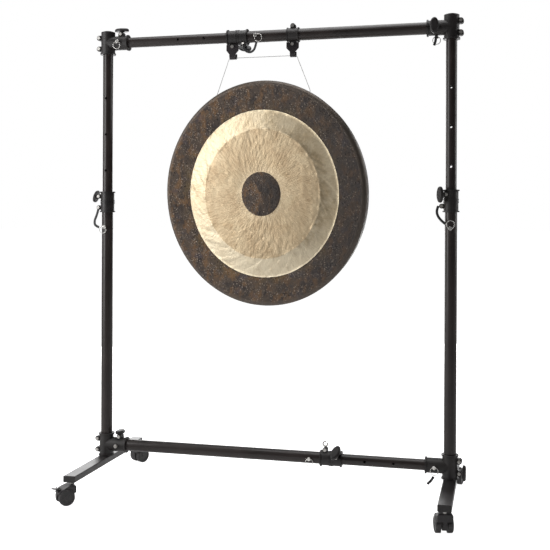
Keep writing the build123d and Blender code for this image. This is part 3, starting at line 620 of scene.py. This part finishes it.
def lathe(name, profile, count):
    """A solid of revolution about Z from (radius, height) points."""
    work = bmesh.new()
    loops = []
    for radius, height in profile:
        if radius == 0:
            loops.append([work.verts.new((0, 0, height))])
            continue
        angles = [2 * math.pi * k / count for k in range(count)]
        loops.append([work.verts.new((radius * math.cos(a), radius * math.sin(a), height)) for a in angles])
    for low, high in zip(loops, loops[1:]):
        for k in range(count):
            n = (k + 1) % count
            corners = [low[k % len(low)], low[n % len(low)], high[n % len(high)], high[k % len(high)]]
            corners = list(dict.fromkeys(corners))
            work.faces.new(corners)
    bmesh.ops.recalc_face_normals(work, faces=work.faces)
    mesh = bpy.data.meshes.new(name)
    work.to_mesh(mesh)
    work.free()
    return new_object(name, mesh)


# ---------------------------------------------------------------- cord and straps

# Routes, in millimetres: the points that control each cord's and strap's curve, from end to end.
LINE_ROUTE = [
    (-196.6, 38.4, 1289.4),
    (-201.2, 39.0, 1298.0),
    (-196.4, 36.0, 1308.0),
    (-148.6, 3.6, 1409.9),
    (-143.2, 0.0, 1420.2),
    (-131.2, 0.0, 1420.2),
    (70.8, 0.0, 1420.2),
    (82.8, 0.0, 1420.2),
    (87.3, -3.3, 1410.2),
    (132.7, -35.9, 1307.9),
    (137.1, -39.1, 1298.0),
    (132.7, -37.6, 1289.4),
]
STRAP_ROUTES = {
    "left_height_tether": [
        (-603.0, -12.3, 923.6),
        (-604.5, -15.0, 912.5),
        (-608.0, -18.0, 899.0),
        (-612.5, -20.5, 886.0),
        (-612.0, -22.0, 873.5),
        (-605.0, -22.6, 866.5),
        (-595.0, -22.4, 862.5),
    ],
    "right_height_tether": [
        (536.8, -12.3, 933.2),
        (533.0, -14.0, 924.0),
        (532.3, -16.0, 912.5),
        (536.0, -18.5, 901.5),
        (543.5, -21.0, 891.5),
        (551.0, -22.4, 884.0),
        (559.5, -22.6, 877.4),
    ],
    "top_width_tether": [
        (-92.5, -17.8, 1453.5),
        (-87.0, -19.5, 1443.0),
        (-77.5, -21.0, 1435.0),
        (-65.0, -22.2, 1432.5),
        (-54.5, -23.0, 1438.5),
        (-49.0, -22.8, 1450.5),
        (-46.0, -22.4, 1465.0),
    ],
    "bottom_right_strap": [
        (526.5, -26.9, 99.3),
        (522.0, -27.4, 90.3),
        (515.5, -27.0, 82.3),
        (507.5, -26.4, 74.8),
    ],
    "top_right_strap": [
        (527.5, -9.4, 1461.8),
        (527.0, -9.9, 1451.4),
        (525.3, -9.7, 1441.2),
        (521.5, -9.0, 1431.2),
    ],
}
LINE_R = 1.0 * MM
STRAP_WIDTH = 8.0 * MM
STRAP_THICK = 2.8 * MM


def spline_points(route):
    """Points along the smooth curve that the route's points control."""
    curve = bpy.data.curves.new("route", "CURVE")
    curve.dimensions = "3D"
    curve.resolution_u = 12
    spline = curve.splines.new("NURBS")
    spline.points.add(len(route) - 1)
    for control, place in zip(spline.points, route):
        control.co = (*[value * MM for value in place], 1)
    spline.order_u = 3
    spline.use_endpoint_u = True
    holder = bpy.data.objects.new("route", curve)
    scene.collection.objects.link(holder)
    bpy.context.view_layer.update()
    mesh = bpy.data.meshes.new_from_object(holder.evaluated_get(bpy.context.evaluated_depsgraph_get()))
    points = [vertex.co.copy() for vertex in mesh.vertices]
    bpy.data.objects.remove(holder)
    bpy.data.curves.remove(curve)
    bpy.data.meshes.remove(mesh)
    return points


def resampled(points, step):
    """The same line, with points about a step apart."""
    result = [points[0]]
    for point in points[1:]:
        gap = point - result[-1]
        for _ in range(int(gap.length / step)):
            result.append(result[-1] + gap.normalized() * step)
    if (points[-1] - result[-1]).length > step * 0.3:
        result.append(points[-1])
    else:
        result[-1] = points[-1]
    return result


def sweep(name, points, section, first_side):
    """A closed tube along points. section(distance) gives its outline as (across, up) pairs."""
    work = bmesh.new()
    loops = []
    side = Vector(first_side).normalized()
    travelled = 0.0
    for i, point in enumerate(points):
        ahead = (points[min(i + 1, len(points) - 1)] - points[max(i - 1, 0)]).normalized()
        side = (side - ahead * side.dot(ahead)).normalized()
        up = ahead.cross(side)
        if i:
            travelled += (point - points[i - 1]).length
        loops.append([work.verts.new(point + side * a + up * b) for a, b in section(travelled)])
    count = len(loops[0])
    for low, high in zip(loops, loops[1:]):
        for k in range(count):
            n = (k + 1) % count
            work.faces.new((low[k], low[n], high[n], high[k]))
    work.faces.new(loops[0][::-1])
    work.faces.new(loops[-1])
    bmesh.ops.recalc_face_normals(work, faces=work.faces)
    mesh = bpy.data.meshes.new(name)
    work.to_mesh(mesh)
    work.free()
    return new_object(name, mesh)


def twisted_section(radius, lay, strands=3, count=18):
    """A laid cord's outline: strands that turn once in each lay."""
    def section(travelled):
        turn = 2 * math.pi * travelled / lay
        outline = []
        for k in range(count):
            angle = 2 * math.pi * k / count
            bulge = 0.86 + 0.14 * abs(math.cos(strands * (angle + turn) / 2))
            outline.append((radius * bulge * math.cos(angle), radius * bulge * math.sin(angle)))
        return outline
    return section


def band_section(width, thick, count=20):
    """A flat strap's outline, with rounded edges."""
    outline = []
    for k in range(count):
        angle = 2 * math.pi * k / count
        c, s = math.cos(angle), math.sin(angle)
        across = width / 2 * math.copysign(abs(c) ** 0.45, c)
        up = thick / 2 * math.copysign(abs(s) ** 0.6, s)
        outline.append((across, up))
    return lambda travelled: outline


def make_line(mat):
    """The gong's hanging line, one cord through both rim holes and over both hooks."""
    points = resampled(spline_points(LINE_ROUTE), 1.6 * MM)
    line = sweep("gong_line", points, twisted_section(LINE_R, 7 * MM), (0, 1, 0.3))
    line.data.materials.append(mat)
    smooth(line, 60)
    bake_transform(line)
    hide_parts("hanging_line")


# Each tether with the body that it hangs from and the pin that it holds, and each tag with its body.
TETHERS = {
    "left_height_tether": ("lower_left", "left_height_pin"),
    "right_height_tether": ("lower_right", "right_height_pin"),
    "top_width_tether": ("upper_right", "top_width_pin"),
}
TAGS = {
    "bottom_right_strap": "lower_right",
    "top_right_strap": "upper_right",
}


def make_band(name, mat):
    """A flat rubber strap along its route, its broad side to the front, and the points that it follows."""
    points = resampled(spline_points(STRAP_ROUTES[name]), 1.5 * MM)
    strap = sweep(name + "_band", points, band_section(STRAP_WIDTH, STRAP_THICK), (1, 0, 0))
    strap.data.materials.append(mat)
    smooth(strap, 60)
    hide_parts(name)
    return strap, points


def make_straps(mat):
    """The flat rubber straps that keep the lock pins from being lost, and the short tags on the tees."""
    for name, (body, pin) in TETHERS.items():
        strap, points = make_band(name, mat)
        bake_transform(strap)
    for name, body in TAGS.items():
        tag, _ = make_band(name, mat)
        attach(tag, body)


# ---------------------------------------------------------------- the scene

def dress(mat, name):
    """Gives a CAD node its material."""
    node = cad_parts[name]
    node.data.materials.clear()
    node.data.materials.append(mat)


def dress_all():
    """A material for every CAD node, by its kind."""
    black = (0.021, 0.0145, 0.013)
    upright = powder_coat("upright_tube_coat", black, "Z")
    level = powder_coat("bar_tube_coat", black, "X")
    foot = powder_coat("foot_coat", (0.024, 0.021, 0.021), "Y")
    castings = moulded("casting_nylon", (0.017, 0.0145, 0.014))
    knobs = moulded("knob_nylon", (0.013, 0.011, 0.011), 520.0, 0.42)
    casters = moulded("caster_nylon", (0.026, 0.023, 0.024), 900.0, 0.44)
    zinc = bare_metal("zinc_steel", (0.6, 0.585, 0.56), 0.3, (0.38, 0.36, 0.33))
    nickel = bare_metal("nickel_steel", (0.78, 0.765, 0.74), 0.2, (0.6, 0.58, 0.54))
    hooks = powder_coat("hook_coat", (0.024, 0.02, 0.022), "Z")
    by_ending = (
        (("_post",), upright),
        (("_bar_thick_tube", "_bar_thin_tube"), level),
        (("_foot_beam",), foot),
        (("_tee", "_collar", "_foot_caps", "_hanger_clamp"), castings),
        (("_knob",), knobs),
        (("_caster_hood", "_caster_brake"), casters),
        (("_caster_wheels",), caster_wheel("wheel_nylon")),
        (("_fasteners", "_caster_stems"), zinc),
        (("_pin",), nickel),
        (("hanger_hooks",), hooks),
    )
    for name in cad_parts:
        for endings, mat in by_ending:
            if name.endswith(endings):
                dress(mat, name)


add_camera()
add_world()
add_softbox("key", (-1.7, -1.1, 1.2), (-0.1, 0, 0.95), (0.7, 1.6), 21)
add_softbox("top", (-0.1, 0.1, 3.2), (0, 0, 0.8), (2.4, 1.8), 44)
add_softbox("right_edge", (2.4, 0.9, 1.6), (0.1, 0, 0.95), (0.5, 1.8), 16)
add_softbox("rear", (-1.2, 3.4, 1.0), (0, 0, 0.8), (4.5, 2.0), 90)
add_floor()
cord_nylon = nylon_cord("cord_nylon")
make_line(cord_nylon)
make_straps(rubber("strap_rubber", (0.014, 0.014, 0.015)))
dress(cord_nylon, "line_knots")
dress_all()
make_gong()
scene.view_settings.view_transform = "Standard"
